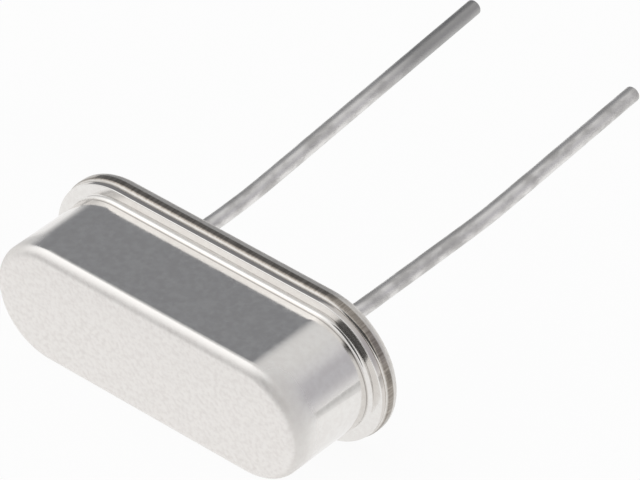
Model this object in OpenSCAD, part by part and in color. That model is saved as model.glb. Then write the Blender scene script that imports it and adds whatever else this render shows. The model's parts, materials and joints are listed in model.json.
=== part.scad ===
// Low-profile two-lead quartz crystal unit, lying on its side as it comes to rest.
// A drawn cover is welded on a stamped base. Glass beads carry two wire leads through the base,
// and bent clips on the leads' inner heads hold the quartz strip.
// The sub-parts are built standing: X along the case, Z up the lead axis, the seat at Z = 0.
// lying() then turns them to +Z up, with the leads towards +Y and the cover's top towards -Y.

/* [Base] */
// Length of the base over its round ends
base_l = 10.64; // [9.8:0.02:12]
// Width of the base
base_w = 4.2; // [4.1:0.02:4.9]
// Thickness of the base's flange
base_t = 0.52; // [0.44:0.02:0.6]
// Radius that the stamping rolls on the base's rim, on the side of the leads
base_roll_r = 0.28; // [0.1:0.01:0.3]
// Radius on the base's upper edge, beside the cover's flange
base_edge_r = 0.12; // [0.04:0.01:0.14]
// Height of the raised pad inside the cover
pad_h = 0.2; // [0.1:0.02:0.3]
// Clear gap between the raised pad and the cover's wall
pad_gap = 0.15; // [0.05:0.01:0.3]

/* [Cover] */
// Width of the cover's body
body_w = 3.38; // [3:0.02:3.5]
// Height of the cover above the base's flange
cover_h = 2.82; // [2.4:0.02:3.6]
// Thickness of the cover's sheet
sheet_t = 0.16; // [0.12:0.01:0.22]
// Outside radius of the bend round the cover's top
top_r = 0.29; // [0.24:0.01:0.4]
// Radius of the fillet between the cover's wall and its flange
flange_r = 0.1; // [0.06:0.01:0.3]
// How far the base stands out past the cover's flange
flange_ledge = 0.05; // [0.03:0.01:0.1]
// Radius on both edges of the cover's flange
edge_r = 0.02; // [0.01:0.005:0.05]

/* [Leads] */
// Distance between the leads' centre lines at the base
lead_pitch = 4.88; // [4.4:0.02:5.1]
// Diameter of a lead
lead_d = 0.43; // [0.36:0.01:0.5]
// Length of a lead below the base
lead_l = 12.8; // [6:0.1:20]
// Chamfer at a lead's cut end
lead_chamfer = 0.04; // [0.02:0.01:0.08]
// Sideways jog of the left lead behind the base
jog_left_w = 0.03; // [0:0.01:0.16]
// Sideways jog of the right lead behind the base
jog_right_w = 0.13; // [0:0.01:0.16]
// Distance from the base to the start of a jog
jog_start_l = 0.4; // [0.3:0.1:0.8]
// Distance from the base to the end of a jog
jog_end_l = 1.7; // [1.6:0.1:2]
// Distance from the base to the left lead's slight bend
stub_left_l = 3; // [2.5:0.1:5]
// Distance from the base to the right lead's slight bend
stub_right_l = 6.5; // [2.5:0.1:9]
// Lean of the left lead beyond its bend, in degrees
lean_left = 4.2; // [0.5:0.1:6]
// Lean of the right lead beyond its bend, in degrees
lean_right = 3.4; // [0.5:0.1:6]
// Heading of the left lead's lean round the lead axis, in degrees from +X
heading_left = 149; // [90:1:180]
// Heading of the right lead's lean round the lead axis, in degrees from +X
heading_right = 159; // [90:1:180]
// Height by which a lead swells where it is bent
swell_h = 0.004; // [0.003:0.001:0.008]
// Gap from a bend's middle to either straight run, inside the swelling
bend_gap = 0.02; // [0.015:0.005:0.03]
// Diameter of the flat head on a lead's inner end
head_d = 0.8; // [0.6:0.02:1]
// Thickness of that head
head_t = 0.12; // [0.08:0.01:0.2]
// Height of the head's top above the raised pad
head_rise = 0.25; // [0.22:0.01:0.4]

/* [Glass seals] */
// Diameter of a glass bead
bead_d = 1.3; // [1.1:0.02:1.5]
// Depth of the dish in a bead's two faces, at its rim
bead_dish = 0.06; // [0.02:0.01:0.1]

/* [Clips] */
// Width of a clip's strip
clip_w = 1.2; // [0.8:0.05:1.4]
// Thickness of a clip's strip
clip_t = 0.1; // [0.06:0.01:0.14]
// Inside radius of a clip's bends
clip_r = 0.1; // [0.05:0.01:0.15]
// Height of a clip's shelf above its foot
clip_rise = 0.6; // [0.5:0.02:0.8]
// Clear gap between a clip's upright and the head it is welded to
clip_gap = 0.1; // [0.05:0.01:0.2]
// Clear gap between a clip's lip and the round end of the cover's wall
clip_room = 0.5; // [0.3:0.02:0.7]

/* [Quartz] */
// Width of the quartz strip
blank_w = 1.8; // [1.4:0.05:2]
// Thickness of the quartz strip
blank_t = 0.2; // [0.12:0.01:0.3]
// Clear gap between the strip's coated end and the bend of a clip's lip
blank_gap = 0.03; // [0.01:0.01:0.1]
// Thickness of the electrode film, drawn thicker than the real one
film_t = 0.02; // [0.02:0.005:0.04]
// Length of an electrode's middle field
field_l = 4.2; // [3:0.1:4.6]
// Width of an electrode's middle field
field_w = 1.3; // [1:0.05:1.6]
// Width of the tab from a field to its end of the strip
tab_w = 0.6; // [0.4:0.05:0.9]
// Length of the film's pad on the far face, where it wraps round the strip's end
wrap_l = 0.6; // [0.3:0.05:0.8]
// Width of an adhesive drop
drop_d = 1; // [0.7:0.05:1.2]
// Height of an adhesive drop
drop_h = 0.22; // [0.12:0.02:0.3]

/* [Hidden] */
$fn = 64;

left = -1;
right = 1;

// Case: every racetrack outline is drawn round one straight spine along X
spine = base_l - base_w;
top_z = base_t + cover_h;
flange_z = base_t + sheet_t;
flange_w = base_w - 2 * flange_ledge;
cavity_w = body_w - 2 * sheet_t;
pad_w = cavity_w - 2 * pad_gap;
pad_z = base_t + pad_h;
rim_roll = min(base_roll_r, base_t - base_edge_r - edge_r);

// Leads
lead_r = lead_d / 2;
head_z = pad_z + head_rise;
function lean(side) = side == left ? lean_left : lean_right;
function heading(side) = side == left ? heading_left : heading_right;
function jog(side) = side == left ? jog_left_w : jog_right_w;
function stub(side) = side == left ? stub_left_l : stub_right_l;
function lead_run(side) = lead_l - stub(side);
function jog_start(side) = [side * lead_pitch / 2, 0, -jog_start_l];
function jog_end(side) = [side * lead_pitch / 2 + jog(side), 0, -jog_end_l];
function lead_bend(side) = [side * lead_pitch / 2 + jog(side), 0, -stub(side)];
function lead_way(side) =
    sin(lean(side)) * [cos(heading(side)), sin(heading(side)), 0] - cos(lean(side)) * [0, 0, 1];
function lead_tip(side) = lead_bend(side) + lead_run(side) * lead_way(side);

// Clips and quartz: the strip is as long as the cover's cavity leaves room for
shelf_z = head_z + clip_rise;
film_z = shelf_z + film_t;
lip_z = film_z + blank_t + film_t;
lip_x = (spine + cavity_w) / 2 - clip_room;
coated_end = lip_x - clip_t - clip_r - blank_gap;
blank_end = coated_end - film_t;
upright_x = (lead_pitch + head_d) / 2 + clip_gap;

// Lying: the base's upper edge and the round of the cover's top edge touch the table together
edge_y = base_w / 2 - base_edge_r;
edge_z = base_t - base_edge_r;
nose_y = body_w / 2 - top_r;
nose_z = top_z - top_r;
lie_dy = edge_y - nose_y;
lie_dz = nose_z - edge_z;
lie_tilt = acos((top_r - base_edge_r) / norm([lie_dy, lie_dz])) - atan2(lie_dz, lie_dy);
function lie_along(p) = -p[1] * sin(lie_tilt) - p[2] * cos(lie_tilt);
function lie_height(p) = p[1] * cos(lie_tilt) - p[2] * sin(lie_tilt);
function tip_reach(side) =
    lie_along(lead_tip(side)) + lead_r * sqrt(1 - pow(lie_along(lead_way(side)), 2));
front = lie_along([0, nose_y, nose_z]) - top_r;
back = max(tip_reach(left), tip_reach(right));
table = lie_height([0, -edge_y, edge_z]) - base_edge_r;

module lying() {
    translate([0, -(front + back) / 2, -table]) rotate([90 + lie_tilt, 0, 0]) children();
}

// Flat pieces of an outline that share whole straight edges
module quarter_disc(r) {
    intersection() {
        circle(r);
        square(2 * r);
    }
}

module quarter_ring(inside_r, t) {
    intersection() {
        difference() {
            circle(inside_r + t);
            circle(inside_r);
        }
        square(2 * (inside_r + t));
    }
}

// A flat bar from x0 to x1 with both corners of its outer end rounded
module stamped_edge(x0, x1, z0, z1) {
    translate([x0, z0]) square([x1 - edge_r - x0, z1 - z0]);
    translate([x1 - edge_r, z0 + edge_r]) square([edge_r, z1 - z0 - 2 * edge_r]);
    translate([x1 - edge_r, z1 - edge_r]) quarter_disc(edge_r);
    translate([x1 - edge_r, z0 + edge_r]) mirror([0, 1]) quarter_disc(edge_r);
}

// Carries a half profile round the racetrack: two half turns and the straight between them
module racetrack() {
    translate([spine / 2, 0, 0]) rotate([0, 0, -90]) rotate_extrude(angle = 180) children();
    translate([-spine / 2, 0, 0]) rotate([0, 0, 90]) rotate_extrude(angle = 180) children();
    rotate([90, 0, 90]) linear_extrude(spine, center = true) {
        children();
        mirror([1, 0]) children();
    }
}

// One sheet: flange, bend, wall, bend and top
module cover_profile() {
    bend_x = body_w / 2 + flange_r;
    bend_z = flange_z + flange_r;
    stamped_edge(bend_x, flange_w / 2, base_t, flange_z);
    translate([bend_x, bend_z]) rotate(180) quarter_ring(flange_r, sheet_t);
    translate([cavity_w / 2, bend_z]) square([sheet_t, nose_z - bend_z]);
    translate([nose_y, nose_z]) quarter_ring(top_r - sheet_t, sheet_t);
    translate([0, top_z - sheet_t]) square([nose_y, sheet_t]);
}

module cover() {
    color("#d4d2cd") lying() racetrack() cover_profile();
}

// A plate with its rim rolled round below and eased above, and the raised pad on it
module base_profile() {
    rim_x = base_w / 2;
    rim_z = base_t - base_edge_r;
    square([rim_x - rim_roll, base_t]);
    translate([rim_x - rim_roll, rim_roll]) mirror([0, 1]) quarter_disc(rim_roll);
    translate([rim_x - rim_roll, rim_roll]) square([rim_roll - base_edge_r, base_t - rim_roll]);
    translate([rim_x - base_edge_r, rim_roll]) square([base_edge_r, rim_z - rim_roll]);
    translate([rim_x - base_edge_r, rim_z]) quarter_disc(base_edge_r);
    translate([0, base_t]) square([pad_w / 2, pad_h]);
}

module base() {
    color("#a8a49d") lying() difference() {
        racetrack() base_profile();
        for (side = [left, right])
            translate([side * lead_pitch / 2, 0, -base_t])
                cylinder(h = pad_z + 2 * base_t, d = bead_d);
    }
}

// A bead fills its hole and climbs the lead: both faces dip towards the rim
module glass_seal(side) {
    color("#4a5550") lying() translate([side * lead_pitch / 2, 0, 0])
        rotate_extrude() polygon([
            [lead_r, 0],
            [bead_d / 2, bead_dish],
            [bead_d / 2, pad_z - bead_dish],
            [lead_r, pad_z]
        ]);
}

// A straight run of wire that stops short of the bends at its two ends
module wire_run(from, to) {
    way = to - from;
    reach = norm(way);
    translate(from) rotate([0, acos(way[2] / reach), atan2(way[1], way[0])])
        translate([0, 0, bend_gap]) cylinder(h = reach - 2 * bend_gap, d = lead_d);
}

// A wire with a flat head inside the case, a slight jog and a slight bend, and a chamfered end.
// Balls a hair wider than the wire join its straight runs.
module lead(side) {
    shank = jog_start_l + head_z - head_t;
    color("#bdbab4") lying() {
        translate(jog_start(side)) {
            translate([0, 0, shank]) cylinder(h = head_t, d = head_d);
            translate([0, 0, bend_gap]) cylinder(h = shank - bend_gap, d = lead_d);
        }
        for (place = [jog_start(side), jog_end(side), lead_bend(side)])
            translate(place) sphere(lead_r + swell_h);
        wire_run(jog_start(side), jog_end(side));
        wire_run(jog_end(side), lead_bend(side));
        translate(lead_bend(side)) rotate([0, 180 - lean(side), heading(side)]) {
            cut_z = lead_run(side) - lead_chamfer;
            translate([0, 0, bend_gap]) cylinder(h = cut_z - bend_gap, d = lead_d);
            translate([0, 0, cut_z]) cylinder(h = lead_chamfer, r1 = lead_r, r2 = lead_r - lead_chamfer);
        }
    }
}

// A strip bent four times: foot on the lead's head, upright, shelf under the quartz, and end lip
module clip_profile() {
    bend = clip_r + clip_t;
    foot_x = (lead_pitch - head_d) / 2;
    shelf_x = upright_x + clip_t + clip_r;
    translate([foot_x, head_z]) square([upright_x - clip_r - foot_x, clip_t]);
    translate([upright_x - clip_r, head_z + bend]) rotate(-90) quarter_ring(clip_r, clip_t);
    translate([upright_x, head_z + bend]) square([clip_t, clip_rise - clip_t - clip_r - bend]);
    translate([shelf_x, shelf_z - bend]) rotate(90) quarter_ring(clip_r, clip_t);
    translate([shelf_x, shelf_z - clip_t]) square([lip_x - bend - shelf_x, clip_t]);
    translate([lip_x - bend, shelf_z + clip_r]) rotate(-90) quarter_ring(clip_r, clip_t);
    translate([lip_x - clip_t, shelf_z + clip_r]) square([clip_t, lip_z - shelf_z - clip_r]);
}

module clip(side) {
    color("#b9b6ae") lying() mirror([side == left ? 1 : 0, 0, 0])
        rotate([90, 0, 0]) linear_extrude(clip_w, center = true) clip_profile();
}

module quartz_blank() {
    color("#e6ebea") lying()
        translate([-blank_end, -blank_w / 2, film_z]) cube([2 * blank_end, blank_w, blank_t]);
}

// A film on the strip's upper face: middle field, tab to the left end, and the wrap round that end
module electrode_film() {
    upper = blank_t / 2;
    translate([-field_l / 2, -field_w / 2, upper]) cube([field_l, field_w, film_t]);
    translate([-coated_end, -tab_w / 2, upper]) cube([coated_end, tab_w, film_t]);
    translate([-coated_end, -tab_w / 2, -upper - film_t]) cube([film_t, tab_w, blank_t + 2 * film_t]);
    translate([-coated_end, -tab_w / 2, -upper - film_t]) cube([film_t + wrap_l, tab_w, film_t]);
}

module electrode_upper() {
    color("#cfd0d0") lying() translate([0, 0, film_z + blank_t / 2]) electrode_film();
}

// The lower film is the upper one turned over, so its tab runs to the right end
module electrode_lower() {
    color("#cfd0d0") lying() translate([0, 0, film_z + blank_t / 2]) rotate([0, 180, 0]) electrode_film();
}

// A low cap that bridges the coated end of the strip and the clip's lip
module adhesive(side) {
    cap_r = (pow(drop_d / 2, 2) + pow(drop_h, 2)) / (2 * drop_h);
    color("#8f8d88") lying() translate([side * (lip_x - drop_d / 2), 0, lip_z])
        intersection() {
            translate([0, 0, drop_h - cap_r]) sphere(cap_r);
            translate([-drop_d, -drop_d, 0]) cube([2 * drop_d, 2 * drop_d, 2 * drop_h]);
        }
}

cover();
base();
glass_seal(left);  // glass_seal_left
glass_seal(right);  // glass_seal_right
lead(left);  // lead_left
lead(right);  // lead_right
clip(left);  // clip_left
clip(right);  // clip_right
quartz_blank();
electrode_upper();
electrode_lower();
adhesive(left);  // adhesive_left
adhesive(right);  // adhesive_right
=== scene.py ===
"""A two-lead quartz crystal unit in a drawn metal can, lying on its side on a white table.

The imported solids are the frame. The can, its base, the glass seals and the leads are modelled again
as smooth meshes, standing upright and in millimetres, and are then laid where the solids lie.
"""
import json
import math

import bmesh
import bpy
from mathutils import Matrix, Quaternion, Vector


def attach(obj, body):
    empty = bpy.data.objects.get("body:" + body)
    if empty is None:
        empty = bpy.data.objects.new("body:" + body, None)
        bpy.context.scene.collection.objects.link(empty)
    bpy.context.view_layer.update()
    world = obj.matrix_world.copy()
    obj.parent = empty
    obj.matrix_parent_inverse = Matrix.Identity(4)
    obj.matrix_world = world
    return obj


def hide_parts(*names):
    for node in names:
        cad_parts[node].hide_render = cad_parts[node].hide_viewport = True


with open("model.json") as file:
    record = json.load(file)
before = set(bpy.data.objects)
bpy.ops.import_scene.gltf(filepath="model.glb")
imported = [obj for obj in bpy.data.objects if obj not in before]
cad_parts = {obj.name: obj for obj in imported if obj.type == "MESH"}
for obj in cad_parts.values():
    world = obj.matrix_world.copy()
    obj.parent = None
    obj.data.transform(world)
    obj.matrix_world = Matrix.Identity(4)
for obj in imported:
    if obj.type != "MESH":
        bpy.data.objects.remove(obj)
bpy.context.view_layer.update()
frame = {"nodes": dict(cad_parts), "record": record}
mounts = {mount["name"]: mount for mount in frame["record"]["mounts"]}

MM = 0.001
LEFT, RIGHT = -1, 1

# Upright frame: X along the can, Z up the lead axis, the base's seat at Z = 0, in millimetres
seat_at = Vector(mounts["seat"]["pos_m"])
up = -Vector(mounts["seat"]["axis"]).normalized()
along = Vector((1, 0, 0))
across = up.cross(along)
stand = Matrix((along, across, up)).transposed().to_4x4()
UPRIGHT = Matrix.Translation(seat_at) @ stand @ Matrix.Scale(MM, 4)


def upright_box(node):
    """Lowest and highest corner of a solid in the upright frame, in millimetres."""
    to_upright = UPRIGHT.inverted()
    points = [to_upright @ vertex.co for vertex in frame["nodes"][node].data.vertices]
    low = Vector(min(p[axis] for p in points) for axis in range(3))
    high = Vector(max(p[axis] for p in points) for axis in range(3))
    return low, high


# Sizes that the solids give
base_low, base_high = upright_box("base")
cover_low, cover_high = upright_box("cover")
seal_low, seal_high = upright_box("glass_seal_right")
head_high = upright_box("lead_right")[1]
BASE_W = base_high.y - base_low.y
SPINE = base_high.x - base_low.x - BASE_W
FLANGE_W = cover_high.y - cover_low.y
BASE_T = cover_low.z
PAD_Z = base_high.z
TOP_Z = cover_high.z
BEAD_R = (seal_high.x - seal_low.x) / 2
LEAD_X = (seal_high.x + seal_low.x) / 2
LEAD_R = mounts["lead_pin_right"]["dims"]["r_mm"]
HEAD_Z = head_high.z
HEAD_R = head_high.x - LEAD_X

# Sizes of the stamped and drawn forms
BODY_W = 3.38
SHEET_T = 0.16
TOP_R = 0.29
FLANGE_R = 0.1
FOOT_SHADE_LINE = 0.125
FOOT_SHADE_LINE_W = 0.07
EDGE_R = 0.02
BASE_EDGE_R = 0.12
BASE_ROLL = 0.28
PAD_GAP = 0.15
PAD_W = BODY_W - 2 * SHEET_T - 2 * PAD_GAP
HEAD_T = 0.12
LEAD_CHAMFER = 0.04
LEAD_JOG = {LEFT: 0.03, RIGHT: 0.13}
LEAD_STUB = {LEFT: 3.0, RIGHT: 6.5}
JOG_START = 0.4
JOG_END = 1.7
JOG_R = 2.0
LEAD_BEND_R = 30.0
DULL_FROM = 8.0
DULL_TO = 10.5
BEAD_DISH = 0.06
DISH_POWER = 3
FLANGE_Z = BASE_T + SHEET_T
HOLE_CUT = 4 * PAD_Z

# Steps of the round forms
END_STEPS = 64
BEND_STEPS = 14
EDGE_STEPS = 4
LEAD_SIDES = 48
LEAD_BEND_STEPS = 8
DISH_STEPS = 6
NEAR = 1e-3
LEVEL = 0.999
SMOOTH_ANGLE = math.radians(35)


# Modelling helpers
def edit(piece):
    """Goes into edit mode on one piece alone."""
    bpy.ops.object.select_all(action="DESELECT")
    piece.select_set(True)
    bpy.context.view_layer.objects.active = piece
    bpy.ops.object.mode_set(mode="EDIT")


def leave_edit():
    """Goes back to object mode."""
    bpy.ops.object.mode_set(mode="OBJECT")


def start(name):
    """Names the primitive that was just added, and puts its place into its mesh."""
    piece = bpy.context.object
    piece.name = name
    piece.data.name = name
    bpy.ops.object.transform_apply(location=True, rotation=True, scale=True)
    return piece


def pick(kind, test):
    """Selects the vertices, edges or faces of the piece in edit mode that pass a test."""
    bpy.ops.mesh.select_mode(type=kind)
    bpy.ops.mesh.select_all(action="DESELECT")
    mesh = bpy.context.edit_object.data
    shape = bmesh.from_edit_mesh(mesh)
    for element in {"VERT": shape.verts, "EDGE": shape.edges, "FACE": shape.faces}[kind]:
        if test(element):
            element.select_set(True)
    bmesh.update_edit_mesh(mesh)


def push(way):
    """Extrudes what is selected."""
    bpy.ops.mesh.extrude_region_move(TRANSFORM_OT_translate={"value": way})


def finish_with(piece, kind, **settings):
    """Adds a modifier and applies it."""
    modifier = piece.modifiers.new(kind.lower(), kind)
    for key, value in settings.items():
        setattr(modifier, key, value)
    bpy.context.view_layer.objects.active = piece
    bpy.ops.object.modifier_apply(modifier=modifier.name)


def spine_reach(point):
    """Distance of a point from the straight spine that every racetrack outline is drawn round."""
    return math.hypot(max(abs(point.x) - SPINE / 2, 0), point.y)


def outline_edge(reach, z):
    """A test for the edges that run round the racetrack outline of one reach and one height."""
    def test(edge):
        start_point, end_point = (vertex.co for vertex in edge.verts)
        points = (start_point, (start_point + end_point) / 2, end_point)
        return all(abs(spine_reach(p) - reach) < NEAR and abs(p.z - z) < NEAR for p in points)
    return test


def flat_face(z, way):
    """A test for the faces that lie at one height and look up or down."""
    def test(face):
        return abs(face.calc_center_median().z - z) < NEAR and face.normal.z * way > LEVEL
    return test


def racetrack_plate(name, width, z):
    """A flat plate with round ends: half a disc, its straight side drawn out to the middle, mirrored."""
    bpy.ops.object.select_all(action="DESELECT")
    bpy.ops.mesh.primitive_circle_add(
        vertices=2 * END_STEPS, radius=width / 2, fill_type="NGON", location=(SPINE / 2, 0, z))
    plate = start(name)
    edit(plate)
    bpy.ops.mesh.select_all(action="SELECT")
    bpy.ops.mesh.bisect(plane_co=(SPINE / 2, 0, z), plane_no=(1, 0, 0), clear_inner=True)
    pick("EDGE", lambda edge: all(abs(v.co.x - SPINE / 2) < NEAR for v in edge.verts))
    push((-SPINE / 2, 0, 0))
    leave_edit()
    finish_with(plate, "MIRROR")
    return plate


def lay_down(piece, node, finish):
    """Lays a finished upright piece into the frame, in place of its solid."""
    edit(piece)
    bpy.ops.mesh.select_all(action="SELECT")
    bpy.ops.mesh.remove_doubles(threshold=NEAR / 10)
    bpy.ops.mesh.normals_make_consistent(inside=False)
    leave_edit()
    piece.matrix_world = UPRIGHT
    bpy.ops.object.transform_apply(location=True, rotation=True, scale=True)
    bpy.ops.object.shade_smooth_by_angle(angle=SMOOTH_ANGLE)
    finish_with(piece, "WEIGHTED_NORMAL", keep_sharp=True)
    piece.data.materials.append(finish)
    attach(piece, "root")
    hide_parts(node)


# Materials, with the sizes of their grain in millimetres
EASED = {"interpolation_type": "SMOOTHSTEP"}
SHEET_MOTTLE = 0.16
SHEET_PITS = 0.12
DRAWING_LINES = (0.07, 0.5, 0.9)
PLATE_MOTTLE = 0.15
SHEAR_LINES = (0.05, 0.05, 0.8)
DIP_BLOTCH = (0.3, 0.3, 0.6)
WIRE_LINES = (0.05, 0.05, 1.2)
GLASS_SWIRL = (0.25, 0.25, 0.4)
ROLLING_LINES = (0.8, 0.04, 0.8)
LAPPING_GRIT = 0.05
SILVER_FLAKES = 0.06


def linear(code):
    """Turns an sRGB hex colour into linear RGBA."""
    shares = [int(code[i:i + 2], 16) / 255 for i in (1, 3, 5)]
    return [s / 12.92 if s <= 0.04045 else ((s + 0.055) / 1.055) ** 2.4 for s in shares] + [1.0]


def add(tree, kind, inputs, **settings):
    """Adds a node with its settings. An input is a value, a socket or a node, by its first output."""
    node = tree.nodes.new("ShaderNode" + kind)
    for key, value in settings.items():
        setattr(node, key, value)
    for key, value in inputs.items():
        source = value.outputs[0] if isinstance(value, bpy.types.Node) else value
        if isinstance(source, bpy.types.NodeSocket):
            tree.links.new(source, node.inputs[key])
        else:
            node.inputs[key].default_value = source
    return node


def new_material(name):
    """An empty material and its node tree."""
    material = bpy.data.materials.new(name)
    material.use_nodes = True
    material.node_tree.nodes.clear()
    return material, material.node_tree


def upright_place(tree):
    """Object coordinates turned into the upright frame, in millimetres."""
    place = add(tree, "TexCoord", {}).outputs["Object"]
    return add(tree, "Mapping", {
        "Vector": place, "Location": seat_at, "Rotation": UPRIGHT.to_euler(), "Scale": (MM, MM, MM)},
        vector_type="TEXTURE")


def drawn_nickel():
    """Bright nickel plate on deep-drawn sheet.

    The stretched wall is a near mirror. The top and the upper edge of the round ends stay satin.
    The lines and pits are finer on a real can, and are drawn as coarse as they need to show.
    """
    material, tree = new_material("bright_nickel_on_drawn_sheet")
    place = upright_place(tree)
    axes = add(tree, "SeparateXYZ", {"Vector": place}).outputs
    mottle = add(tree, "TexNoise", {"Vector": place, "Scale": 1 / SHEET_MOTTLE, "Detail": 3.0})
    pits = add(tree, "TexNoise", {"Vector": place, "Scale": 1 / SHEET_PITS, "Detail": 4.0})
    stretched = add(tree, "Mapping", {"Vector": place, "Scale": [1 / size for size in DRAWING_LINES]})
    drawing_lines = add(tree, "TexNoise", {"Vector": stretched, "Scale": 1.0, "Detail": 2.0})

    # Glossy wall, satin top, and satin towards the top of the round ends
    gloss = add(tree, "MapRange", {
        "Value": mottle, "From Min": 0.3, "From Max": 0.7, "To Min": 0.1, "To Max": 0.16}, **EASED)
    top_satin = add(tree, "MapRange", {
        "Value": axes["Z"], "From Min": TOP_Z - 0.85 * TOP_R, "From Max": TOP_Z - 0.45 * TOP_R,
        "To Max": 0.3}, **EASED)
    off_middle = add(tree, "Math", {0: axes["X"]}, operation="ABSOLUTE")
    on_end = add(tree, "MapRange", {
        "Value": off_middle, "From Min": SPINE / 2 + 0.2, "From Max": SPINE / 2 + 0.9}, **EASED)
    near_top = add(tree, "MapRange", {
        "Value": axes["Z"], "From Min": TOP_Z - 3.5 * TOP_R, "From Max": TOP_Z - 0.6 * TOP_R,
        "To Max": 0.55}, **EASED)
    off_top = add(tree, "MapRange", {
        "Value": axes["Z"], "From Min": TOP_Z - 0.3 * TOP_R, "From Max": TOP_Z,
        "To Min": 1.0, "To Max": 0.5}, **EASED)
    end_satin = add(tree, "Math", {0: near_top, 1: off_top}, operation="MULTIPLY")
    end_satin = add(tree, "Math", {0: on_end, 1: end_satin}, operation="MULTIPLY")
    satin = add(tree, "Math", {0: top_satin, 1: end_satin}, operation="MAXIMUM")
    rough = add(tree, "Math", {0: satin, 1: gloss}, operation="ADD")

    # Faint lines up the wall where the sheet was drawn, over its fine mottle
    bump = add(tree, "Bump", {"Height": drawing_lines, "Strength": 0.12, "Distance": 0.004 * MM})
    bump = add(tree, "Bump", {"Height": mottle, "Strength": 0.12, "Distance": 0.006 * MM, "Normal": bump})

    # Polished wall, pressed top, cut rim, and a painted dark line of shade in the crease at the wall's foot
    mottled = add(tree, "MapRange", {"Value": mottle, "From Min": 0.3, "From Max": 0.7}, **EASED)
    polished = add(tree, "MixRGB", {
        "Fac": mottled, "Color1": linear("#e6e3e0"), "Color2": linear("#ebe9e6")})
    pitted = add(tree, "MapRange", {"Value": pits, "From Min": 0.25, "From Max": 0.65}, **EASED)
    pressed = add(tree, "MixRGB", {"Fac": pitted, "Color1": linear("#e4e0dd"), "Color2": linear("#eeebe8")})
    on_top = add(tree, "MapRange", {
        "Value": axes["Z"], "From Min": TOP_Z - 0.5 * TOP_R, "From Max": TOP_Z}, **EASED)
    color = add(tree, "MixRGB", {"Fac": on_top, "Color1": polished, "Color2": pressed})
    on_rim = add(tree, "MapRange", {
        "Value": axes["Z"], "From Min": FLANGE_Z - 2 * EDGE_R, "From Max": FLANGE_Z - EDGE_R,
        "To Min": 1.0, "To Max": 0.0}, **EASED)
    color = add(tree, "MixRGB", {"Fac": on_rim, "Color1": color, "Color2": linear("#d6d1cc")})
    # Painted shade: the colour is darkened along a thin band in the crease at the wall's foot
    above_line = add(tree, "Math", {0: axes["Z"], 1: FLANGE_Z + FOOT_SHADE_LINE}, operation="SUBTRACT")
    off_line = add(tree, "Math", {0: above_line}, operation="ABSOLUTE")
    on_shade_line = add(tree, "MapRange", {
        "Value": off_line, "From Max": FOOT_SHADE_LINE_W / 2, "To Min": 1.0, "To Max": 0.0}, **EASED)
    color = add(tree, "MixRGB", {"Fac": on_shade_line, "Color1": color, "Color2": linear("#aeaba8")})

    metal = add(tree, "BsdfPrincipled", {
        "Base Color": color, "Metallic": 1.0, "Roughness": rough, "Normal": bump})
    add(tree, "OutputMaterial", {"Surface": metal})
    return material


def stamped_nickel():
    """Nickel plate on a stamped plate: satin faces, and a dull brown rim where the punch cut it. The rim's
    colour is partly painted shade: darkened, and carried up into the rounded upper edge for the dark groove
    under the can's flange.

    The shear lines are finer on a real rim, and are drawn as coarse as they need to show.
    """
    material, tree = new_material("nickel_on_stamped_plate")
    place = upright_place(tree)
    z = add(tree, "SeparateXYZ", {"Vector": place}).outputs["Z"]
    mottle = add(tree, "TexNoise", {"Vector": place, "Scale": 1 / PLATE_MOTTLE, "Detail": 3.0})
    stretched = add(tree, "Mapping", {"Vector": place, "Scale": [1 / size for size in SHEAR_LINES]})
    shear_lines = add(tree, "TexNoise", {"Vector": stretched, "Scale": 1.0, "Detail": 2.0})
    # Painted shade: the dark rim band reaches up into the rounded upper edge, for the groove under the
    # can's flange
    above_roll = add(tree, "MapRange", {
        "Value": z, "From Min": BASE_ROLL - 0.02, "From Max": BASE_ROLL + 0.03}, **EASED)
    below_edge = add(tree, "MapRange", {
        "Value": z, "From Min": BASE_T - 0.6 * BASE_EDGE_R, "From Max": BASE_T - 0.2 * BASE_EDGE_R,
        "To Min": 1.0, "To Max": 0.0}, **EASED)
    sheared_rim_and_groove_shade = add(tree, "Math", {0: above_roll, 1: below_edge}, operation="MULTIPLY")
    mottled = add(tree, "MapRange", {"Value": mottle, "From Min": 0.3, "From Max": 0.7}, **EASED)
    plate = add(tree, "MixRGB", {"Fac": mottled, "Color1": linear("#d9d5d0"), "Color2": linear("#e2dfdb")})
    lined = add(tree, "MapRange", {"Value": shear_lines, "From Min": 0.3, "From Max": 0.7}, **EASED)
    cut = add(tree, "MixRGB", {"Fac": lined, "Color1": linear("#8a837b"), "Color2": linear("#a9a29a")})
    color = add(tree, "MixRGB", {"Fac": sheared_rim_and_groove_shade, "Color1": plate, "Color2": cut})
    rough = add(tree, "MapRange", {
        "Value": z, "From Min": BASE_ROLL - 0.04, "From Max": BASE_ROLL + 0.04,
        "To Min": 0.42, "To Max": 0.14}, **EASED)
    bump = add(tree, "Bump", {"Height": shear_lines, "Strength": 0.15, "Distance": 0.004 * MM})
    metal = add(tree, "BsdfPrincipled", {
        "Base Color": color, "Metallic": 1.0, "Roughness": rough, "Normal": bump})
    add(tree, "OutputMaterial", {"Surface": metal})
    return material


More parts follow.
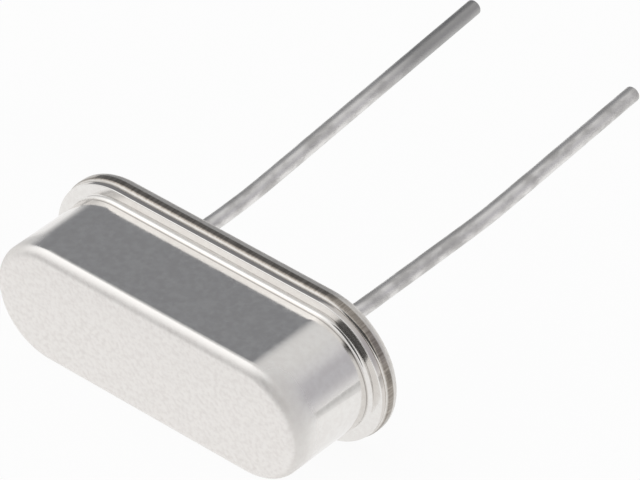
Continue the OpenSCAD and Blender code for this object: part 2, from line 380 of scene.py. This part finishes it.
def dipped_tin():
    """Tin dipped on drawn wire: a soft grey shine, with blotches where the dip ran.

    The left lead is duller towards its tip. The faint lines along the wire are finer on a real one,
    and are drawn as coarse as they need to show.
    """
    material, tree = new_material("dipped_tin_on_drawn_wire")
    place = upright_place(tree)
    axes = add(tree, "SeparateXYZ", {"Vector": place}).outputs
    stretched = add(tree, "Mapping", {"Vector": place, "Scale": [1 / size for size in DIP_BLOTCH]})
    blotch = add(tree, "TexNoise", {"Vector": stretched, "Scale": 1.0, "Detail": 4.0})
    stretched = add(tree, "Mapping", {"Vector": place, "Scale": [1 / size for size in WIRE_LINES]})
    wire_lines = add(tree, "TexNoise", {"Vector": stretched, "Scale": 1.0, "Detail": 2.0})
    blotched = add(tree, "MapRange", {"Value": blotch, "From Min": 0.35, "From Max": 0.65}, **EASED)
    color = add(tree, "MixRGB", {"Fac": blotched, "Color1": linear("#c4c2c0"), "Color2": linear("#e6e4e2")})
    far = add(tree, "MapRange", {"Value": axes["Z"], "From Min": -DULL_FROM, "From Max": -DULL_TO}, **EASED)
    on_left = add(tree, "MapRange", {
        "Value": axes["X"], "From Min": -0.1, "From Max": 0.1, "To Min": 1.0, "To Max": 0.0}, **EASED)
    dull = add(tree, "Math", {0: far, 1: on_left}, operation="MULTIPLY")
    color = add(tree, "MixRGB", {"Fac": dull, "Color1": color, "Color2": linear("#abaaa9")})
    rough = add(tree, "MapRange", {
        "Value": blotch, "From Min": 0.3, "From Max": 0.7, "To Min": 0.5, "To Max": 0.34}, **EASED)
    bump = add(tree, "Bump", {"Height": wire_lines, "Strength": 0.3, "Distance": 0.005 * MM})
    bump = add(tree, "Bump", {"Height": blotch, "Strength": 0.3, "Distance": 0.02 * MM, "Normal": bump})
    metal = add(tree, "BsdfPrincipled", {
        "Base Color": color, "Metallic": 1.0, "Roughness": rough, "Normal": bump})
    add(tree, "OutputMaterial", {"Surface": metal})
    return material


def fused_glass():
    """Sealing glass fused in its hole: dark grey-green, smooth and glossy, with a few paler swirls."""
    material, tree = new_material("fused_sealing_glass")
    place = upright_place(tree)
    stretched = add(tree, "Mapping", {"Vector": place, "Scale": [1 / size for size in GLASS_SWIRL]})
    swirl = add(tree, "TexNoise", {"Vector": stretched, "Scale": 1.0, "Detail": 3.0})
    swirled = add(tree, "MapRange", {"Value": swirl, "From Min": 0.35, "From Max": 0.7}, **EASED)
    color = add(tree, "MixRGB", {"Fac": swirled, "Color1": linear("#2b332f"), "Color2": linear("#56625c")})
    rough = add(tree, "MapRange", {
        "Value": swirl, "From Min": 0.3, "From Max": 0.7, "To Min": 0.1, "To Max": 0.2}, **EASED)
    glass = add(tree, "BsdfPrincipled", {"Base Color": color, "IOR": 1.52, "Roughness": rough})
    add(tree, "OutputMaterial", {"Surface": glass})
    return material


def rolled_bronze():
    """Tinned phosphor bronze strip: warm grey, with rolling lines drawn as coarse as they need to show."""
    material, tree = new_material("tinned_bronze_strip")
    place = upright_place(tree)
    stretched = add(tree, "Mapping", {"Vector": place, "Scale": [1 / size for size in ROLLING_LINES]})
    lines = add(tree, "TexNoise", {"Vector": stretched, "Scale": 1.0, "Detail": 2.0})
    lined = add(tree, "MapRange", {"Value": lines, "From Min": 0.3, "From Max": 0.7}, **EASED)
    color = add(tree, "MixRGB", {"Fac": lined, "Color1": linear("#b7b1a6"), "Color2": linear("#cbc6bc")})
    rough = add(tree, "MapRange", {
        "Value": lines, "From Min": 0.3, "From Max": 0.7, "To Min": 0.24, "To Max": 0.36}, **EASED)
    metal = add(tree, "BsdfPrincipled", {"Base Color": color, "Metallic": 1.0, "Roughness": rough})
    add(tree, "OutputMaterial", {"Surface": metal})
    return material


def lapped_quartz():
    """Lapped quartz: clear, and frosted by its grit, which is drawn as coarse as it needs to show."""
    material, tree = new_material("lapped_quartz")
    place = upright_place(tree)
    frost = add(tree, "TexNoise", {"Vector": place, "Scale": 1 / LAPPING_GRIT, "Detail": 2.0})
    rough = add(tree, "MapRange", {
        "Value": frost, "From Min": 0.3, "From Max": 0.7, "To Min": 0.22, "To Max": 0.38}, **EASED)
    quartz = add(tree, "BsdfPrincipled", {
        "Base Color": linear("#eef2f1"), "IOR": 1.544, "Roughness": rough, "Transmission Weight": 0.9})
    add(tree, "OutputMaterial", {"Surface": quartz})
    return material


def silver_film():
    """Silver evaporated on lapped quartz: pale and even, as satin as the face below it."""
    material, tree = new_material("evaporated_silver_film")
    place = upright_place(tree)
    frost = add(tree, "TexNoise", {"Vector": place, "Scale": 1 / LAPPING_GRIT, "Detail": 2.0})
    color = add(tree, "MixRGB", {"Fac": frost, "Color1": linear("#dcdad6"), "Color2": linear("#efeeec")})
    rough = add(tree, "MapRange", {
        "Value": frost, "From Min": 0.3, "From Max": 0.7, "To Min": 0.22, "To Max": 0.36}, **EASED)
    metal = add(tree, "BsdfPrincipled", {"Base Color": color, "Metallic": 1.0, "Roughness": rough})
    add(tree, "OutputMaterial", {"Surface": metal})
    return material


def silver_epoxy():
    """Silver-filled epoxy: a grey cured drop, with flakes drawn as coarse as they need to show."""
    material, tree = new_material("silver_filled_epoxy")
    place = upright_place(tree)
    flakes = add(tree, "TexNoise", {"Vector": place, "Scale": 1 / SILVER_FLAKES, "Detail": 2.0})
    flaked = add(tree, "MapRange", {"Value": flakes, "From Min": 0.4, "From Max": 0.65}, **EASED)
    color = add(tree, "MixRGB", {"Fac": flaked, "Color1": linear("#7f7d79"), "Color2": linear("#b4b2ae")})
    rough = add(tree, "MapRange", {
        "Value": flakes, "From Min": 0.4, "From Max": 0.65, "To Min": 0.55, "To Max": 0.35}, **EASED)
    epoxy = add(tree, "BsdfPrincipled", {"Base Color": color, "Metallic": 0.4, "Roughness": rough})
    add(tree, "OutputMaterial", {"Surface": epoxy})
    return material


def dress(node, finish):
    """Gives a solid that is kept as it is its material."""
    frame["nodes"][node].material_slots[0].material = finish


# Pieces
def drawn_cover(finish):
    """The can: flange, wall and top drawn from one sheet."""
    cover = racetrack_plate("drawn_cover", FLANGE_W, FLANGE_Z)
    edit(cover)
    bpy.ops.mesh.select_all(action="SELECT")
    bpy.ops.mesh.inset(thickness=(FLANGE_W - BODY_W) / 2)
    push((0, 0, TOP_Z - FLANGE_Z))
    pick("EDGE", outline_edge(BODY_W / 2, TOP_Z))
    bpy.ops.mesh.bevel(offset=TOP_R, segments=BEND_STEPS, affect="EDGES")
    pick("EDGE", outline_edge(BODY_W / 2, FLANGE_Z))
    bpy.ops.mesh.bevel(offset=FLANGE_R, segments=BEND_STEPS, affect="EDGES")
    leave_edit()
    finish_with(cover, "SOLIDIFY", thickness=SHEET_T, offset=-1, use_even_offset=True)
    edit(cover)
    upper = outline_edge(FLANGE_W / 2, FLANGE_Z)
    lower = outline_edge(FLANGE_W / 2, BASE_T)
    pick("EDGE", lambda edge: upper(edge) or lower(edge))
    bpy.ops.mesh.bevel(offset=EDGE_R, segments=EDGE_STEPS, affect="EDGES")
    leave_edit()
    lay_down(cover, "cover", finish)


def stamped_base(finish):
    """The base: a plate with its rim rolled round below, a raised pad inside the can and two seal holes."""
    base = racetrack_plate("stamped_base", BASE_W, BASE_T)
    finish_with(base, "SOLIDIFY", thickness=BASE_T, offset=-1, use_even_offset=True)
    edit(base)
    pick("FACE", flat_face(BASE_T, 1))
    bpy.ops.mesh.inset(thickness=(BASE_W - PAD_W) / 2)
    push((0, 0, PAD_Z - BASE_T))
    pick("EDGE", outline_edge(BASE_W / 2, BASE_T))
    bpy.ops.mesh.bevel(offset=BASE_EDGE_R, segments=BEND_STEPS, affect="EDGES")
    pick("EDGE", outline_edge(BASE_W / 2, 0))
    bpy.ops.mesh.bevel(offset=BASE_ROLL, segments=BEND_STEPS, affect="EDGES")
    leave_edit()
    for side in (LEFT, RIGHT):
        bpy.ops.object.select_all(action="DESELECT")
        bpy.ops.mesh.primitive_cylinder_add(
            vertices=LEAD_SIDES, radius=BEAD_R, depth=HOLE_CUT, location=(side * LEAD_X, 0, 0))
        cutter = start("seal_hole_cutter")
        finish_with(base, "BOOLEAN", object=cutter, operation="DIFFERENCE")
        bpy.data.objects.remove(cutter)
    lay_down(base, "base", finish)


def glass_seals(finish):
    """The two beads of fused glass: each fills its hole and climbs its lead on both faces."""
    centre = Vector((LEFT * LEAD_X, 0, 0))
    bpy.ops.object.select_all(action="DESELECT")
    bpy.ops.mesh.primitive_circle_add(
        vertices=LEAD_SIDES, radius=BEAD_R, location=centre + Vector((0, 0, BEAD_DISH)))
    left_bead = start("glass_bead_left")
    edit(left_bead)
    bpy.ops.mesh.select_all(action="SELECT")
    reach, height = BEAD_R, BEAD_DISH
    shares = [step / DISH_STEPS for step in range(1, DISH_STEPS + 1)]
    dish = [(BEAD_R + (LEAD_R - BEAD_R) * share, BEAD_DISH * (1 - share ** DISH_POWER)) for share in shares]
    rings = dish + [(r, PAD_Z - z) for r, z in reversed(dish)] + [(BEAD_R, PAD_Z - BEAD_DISH)]
    for next_reach, next_height in rings:
        push((0, 0, next_height - height))
        growth = next_reach / reach
        bpy.ops.transform.resize(value=(growth, growth, 1), center_override=centre)
        reach, height = next_reach, next_height
    pick("EDGE", lambda edge: edge.is_boundary)
    bpy.ops.mesh.bridge_edge_loops()
    leave_edit()
    bpy.ops.object.duplicate_move(TRANSFORM_OT_translate={"value": (2 * LEAD_X, 0, 0)})
    right_bead = start("glass_bead_right")
    lay_down(left_bead, "glass_seal_left", finish)
    lay_down(right_bead, "glass_seal_right", finish)


def wire_lead(side, finish):
    """A lead: flat head inside the can, straight through its seal, a jog and a bend, a square-cut end."""
    name = "wire_lead_left" if side == LEFT else "wire_lead_right"
    node = "lead_left" if side == LEFT else "lead_right"
    pin = mounts["lead_pin_left" if side == LEFT else "lead_pin_right"]
    turn = UPRIGHT.to_3x3().normalized().inverted()
    way = (turn @ Vector(pin["axis"])).normalized()
    tip = UPRIGHT.inverted() @ Vector(pin["pos_m"]) + way * (pin["dims"]["length_mm"] / 2 + LEAD_CHAMFER)
    jog_x = side * LEAD_X + LEAD_JOG[side]
    corners = (
        (Vector((side * LEAD_X, 0, -JOG_START)), JOG_R),
        (Vector((jog_x, 0, -JOG_END)), JOG_R),
        (Vector((jog_x, 0, -LEAD_STUB[side])), LEAD_BEND_R))
    shank_high = HEAD_Z - HEAD_T
    end = Vector((side * LEAD_X, 0, 0))
    bpy.ops.object.select_all(action="DESELECT")
    bpy.ops.mesh.primitive_cylinder_add(
        vertices=LEAD_SIDES, radius=LEAD_R, depth=shank_high, location=(side * LEAD_X, 0, shank_high / 2))
    lead = start(name)
    edit(lead)
    pick("FACE", flat_face(shank_high, 1))
    push((0, 0, 0))
    share = HEAD_R / LEAD_R
    bpy.ops.transform.resize(value=(share, share, 1), center_override=(side * LEAD_X, 0, shank_high))
    push((0, 0, HEAD_T))
    pick("FACE", flat_face(0, -1))
    way_in = Vector((0, 0, -1))
    for index, (corner, bend_r) in enumerate(corners):
        way_out = (corners[index + 1][0] if index + 1 < len(corners) else tip) - corner
        way_out.normalize()
        bend_axis = way_out.cross(way_in)
        lean = math.asin(bend_axis.length)
        bend_run = bend_r * math.tan(lean / 2)
        push(corner - way_in * bend_run - end)
        toward = (way_out - way_in * math.cos(lean)).normalized()
        bpy.ops.mesh.spin(
            steps=LEAD_BEND_STEPS, angle=lean, center=corner - way_in * bend_run + toward * bend_r,
            axis=bend_axis.normalized())
        end = corner + way_out * bend_run
        way_in = way_out
    push(tip - end)
    shape = bmesh.from_edit_mesh(lead.data)
    rim = {edge for face in shape.faces if face.select for edge in face.edges}
    pick("EDGE", lambda edge: edge in rim)
    bpy.ops.mesh.bevel(offset=LEAD_CHAMFER, segments=EDGE_STEPS, affect="EDGES")
    leave_edit()
    lay_down(lead, node, finish)


# Studio: a white table in a light tent, with cards and panels that the metal mirrors
FLOOR_R = 0.6
FLOOR_SIDES = 96
FLOOR_LIFT = 0.93
CARD_LIFT = 0.02
CARD_WHITE = 0.95


def white_table():
    """The table: white where it is seen or mirrored, with the object's faint shadow on it."""
    bpy.ops.object.select_all(action="DESELECT")
    bpy.ops.mesh.primitive_circle_add(vertices=FLOOR_SIDES, radius=FLOOR_R, fill_type="NGON")
    floor = start("white_table")
    material, tree = new_material("matt_white_laminate")
    path = add(tree, "LightPath", {}).outputs
    seen = add(tree, "Math", {0: path["Is Camera Ray"], 1: path["Is Glossy Ray"]}, operation="ADD")
    seen = add(tree, "Math", {0: seen, 1: path["Is Transmission Ray"]}, operation="ADD", use_clamp=True)
    share = add(tree, "Math", {0: seen, 1: FLOOR_LIFT}, operation="MULTIPLY")
    matt = add(tree, "BsdfDiffuse", {"Color": linear("#f8f8f7")})
    white = add(tree, "Emission", {"Color": linear("#ffffff")})
    laminate = add(tree, "MixShader", {0: share, 1: matt, 2: white})
    add(tree, "OutputMaterial", {"Surface": laminate})
    floor.data.materials.append(material)


def grey_card(name, low_x, high_x, low_y, high_y, near_x, far_x, near_y, far_y, near_level, far_level):
    """A card on the table that only the metal mirrors, fading from one grey to another. In millimetres."""
    bpy.ops.object.select_all(action="DESELECT")
    bpy.ops.mesh.primitive_plane_add(
        size=MM, location=((low_x + high_x) / 2 * MM, (low_y + high_y) / 2 * MM, CARD_LIFT * MM))
    bpy.ops.transform.resize(value=(high_x - low_x, high_y - low_y, 1))
    card = start(name)
    material, tree = new_material("grey_paper_and_painted_shadow")
    axes = add(tree, "SeparateXYZ", {"Vector": add(tree, "TexCoord", {}).outputs["Object"]}).outputs
    sideways = add(tree, "MapRange", {
        "Value": axes["X"], "From Min": near_x * MM, "From Max": far_x * MM}, **EASED)
    forward = add(tree, "MapRange", {
        "Value": axes["Y"], "From Min": near_y * MM, "From Max": far_y * MM}, **EASED)
    share = add(tree, "Math", {0: sideways, 1: forward}, operation="MULTIPLY")
    level = add(tree, "MapRange", {"Value": share, "To Min": near_level, "To Max": far_level})
    grey = add(tree, "Emission", {"Color": linear("#ffffff"), "Strength": level})
    add(tree, "OutputMaterial", {"Surface": grey})
    card.data.materials.append(material)
    card.visible_camera = False


def white_card(name, x, low_y, high_y, height, soft):
    """A white card on edge that only the metal mirrors, fading out at its top. In millimetres."""
    bpy.ops.object.select_all(action="DESELECT")
    bpy.ops.mesh.primitive_plane_add(
        size=MM, location=(x * MM, (low_y + high_y) / 2 * MM, height / 2 * MM),
        rotation=(0, math.pi / 2, 0))
    bpy.ops.transform.resize(value=(1, high_y - low_y, height))
    card = start(name)
    material, tree = new_material("thin_white_paper")
    axes = add(tree, "SeparateXYZ", {"Vector": add(tree, "TexCoord", {}).outputs["Object"]}).outputs
    share = add(tree, "MapRange", {
        "Value": axes["Z"], "From Min": (height - soft) * MM, "From Max": height * MM,
        "To Min": 1.0, "To Max": 0.0}, **EASED)
    clear = add(tree, "BsdfTransparent", {})
    white = add(tree, "Emission", {"Color": linear("#ffffff"), "Strength": CARD_WHITE})
    paper = add(tree, "MixShader", {0: share, 1: clear, 2: white})
    add(tree, "OutputMaterial", {"Surface": paper})
    card.data.materials.append(material)
    card.visible_camera = False


def panel(tree, way, behind, azimuth, elevation, width, height, soft, color, level):
    """A soft-edged panel in front of what hangs behind it. Azimuth runs from +Y towards +X, in degrees."""
    turned = add(tree, "VectorRotate", {
        "Vector": way, "Angle": math.radians(azimuth)}, rotation_type="Z_AXIS")
    axes = add(tree, "SeparateXYZ", {"Vector": turned}).outputs
    sideways = add(tree, "Math", {0: axes["X"], 1: axes["Y"]}, operation="ARCTAN2")
    rise = add(tree, "Math", {0: axes["Z"]}, operation="ARCSINE")
    upward = add(tree, "Math", {0: rise, 1: math.radians(elevation)}, operation="SUBTRACT")
    mask = 1.0
    for reach, angle in ((width / 2, sideways), (height / 2, upward)):
        off = add(tree, "Math", {0: angle}, operation="ABSOLUTE")
        inside = add(tree, "MapRange", {
            "Value": off, "From Min": math.radians(reach - soft / 2),
            "From Max": math.radians(reach + soft / 2), "To Min": 1.0, "To Max": 0.0}, **EASED)
        mask = add(tree, "Math", {0: mask, 1: inside}, operation="MULTIPLY")
    face = [share * level for share in linear(color)[:3]] + [1.0]
    return add(tree, "MixRGB", {"Fac": mask, "Color1": behind, "Color2": face})


def light_tent():
    """The world: white cloth all round, with darker and brighter panels hung in front of it."""
    world = bpy.data.worlds.new("light_tent")
    bpy.context.scene.world = world
    world.use_nodes = True
    tree = world.node_tree
    tree.nodes.clear()
    way = add(tree, "TexCoord", {}).outputs["Generated"]
    cloth = linear("#ffffff")
    # Light grey roof
    cloth = panel(
        tree, way, cloth, azimuth=20, elevation=80, width=220, height=56, soft=20,
        color="#ffffff", level=0.77)
    # Dark sheet that the can's long wall mirrors
    cloth = panel(
        tree, way, cloth, azimuth=-50, elevation=20, width=62, height=70, soft=14,
        color="#f6f9ff", level=0.285)
    # Grey side for the band on the can's right end
    cloth = panel(
        tree, way, cloth, azimuth=60, elevation=28, width=74, height=48, soft=34,
        color="#f8f7fd", level=0.58)
    # Grey back for the leads
    cloth = panel(
        tree, way, cloth, azimuth=10, elevation=34, width=44, height=40, soft=20,
        color="#ffffff", level=0.6)
    # Low grey strip
    cloth = panel(
        tree, way, cloth, azimuth=-150, elevation=0, width=60, height=30, soft=20,
        color="#ffffff", level=0.72)
    # Softbox, and its brighter middle
    cloth = panel(
        tree, way, cloth, azimuth=-125, elevation=42, width=70, height=44, soft=26,
        color="#ffffff", level=1.22)
    cloth = panel(
        tree, way, cloth, azimuth=-122, elevation=50, width=44, height=22, soft=14,
        color="#ffffff", level=1.55)
    # Dark cloth round the lens
    cloth = panel(
        tree, way, cloth, azimuth=155, elevation=20, width=64, height=48, soft=8,
        color="#ffffff", level=0.1)
    seen = add(tree, "LightPath", {}).outputs["Is Camera Ray"]
    cloth = add(tree, "MixRGB", {"Fac": seen, "Color1": cloth, "Color2": linear("#ffffff")})
    glow = add(tree, "Background", {"Color": cloth, "Strength": 1.0})
    add(tree, "OutputWorld", {"Surface": glow})


# Camera: the photograph's view
AIM = Vector((-0.806, -0.365, 1.747)) * MM
VIEW_AZIMUTH = 36.96
VIEW_ELEVATION = 31.455
VIEW_ROLL = 6.847
VIEW_FAR = 143.484 * MM
LENS = 322.912


def photo_camera():
    """A long lens at the photograph's place. Azimuth runs from the front towards +X, in degrees."""
    turn = math.radians(VIEW_AZIMUTH)
    rise = math.radians(VIEW_ELEVATION)
    back = Vector((math.sin(turn) * math.cos(rise), -math.cos(turn) * math.cos(rise), math.sin(rise)))
    lens = bpy.data.cameras.new("photo_camera")
    lens.lens = LENS
    lens.clip_start = 0.001
    lens.clip_end = 10
    camera = bpy.data.objects.new("photo_camera", lens)
    bpy.context.scene.collection.objects.link(camera)
    camera.rotation_mode = "QUATERNION"
    roll = Quaternion((0, 0, 1), math.radians(VIEW_ROLL))
    camera.rotation_quaternion = (-back).to_track_quat("-Z", "Y") @ roll
    camera.location = AIM + back * VIEW_FAR
    bpy.context.scene.camera = camera


photo_camera()
light_tent()
white_table()
grey_card(
    "front_grey_card", low_x=-60, high_x=12, low_y=-60, high_y=-12.3,
    near_x=12, far_x=0, near_y=-11.5, far_y=-15.5, near_level=1.0, far_level=0.6)
# Painted shadow: a grey card beside the can's right end that the metal mirrors in place of the can's shadow
# on the table
grey_card(
    "painted_shadow_card", low_x=10.5, high_x=70, low_y=-0.5, high_y=70,
    near_x=10.5, far_x=24, near_y=-0.5, far_y=4, near_level=0.8, far_level=0.6)
white_card("left_white_card", x=-13, low_y=-9, high_y=0, height=7.5, soft=5)

drawn_cover(drawn_nickel())
stamped_base(stamped_nickel())
glass_seals(fused_glass())
tin = dipped_tin()
bronze = rolled_bronze()
silver = silver_film()
epoxy = silver_epoxy()
for side, word in ((LEFT, "left"), (RIGHT, "right")):
    wire_lead(side, tin)
    dress("clip_" + word, bronze)
    dress("adhesive_" + word, epoxy)
dress("quartz_blank", lapped_quartz())
dress("electrode_upper", silver)
dress("electrode_lower", silver)

bpy.context.scene.view_settings.view_transform = "Standard"
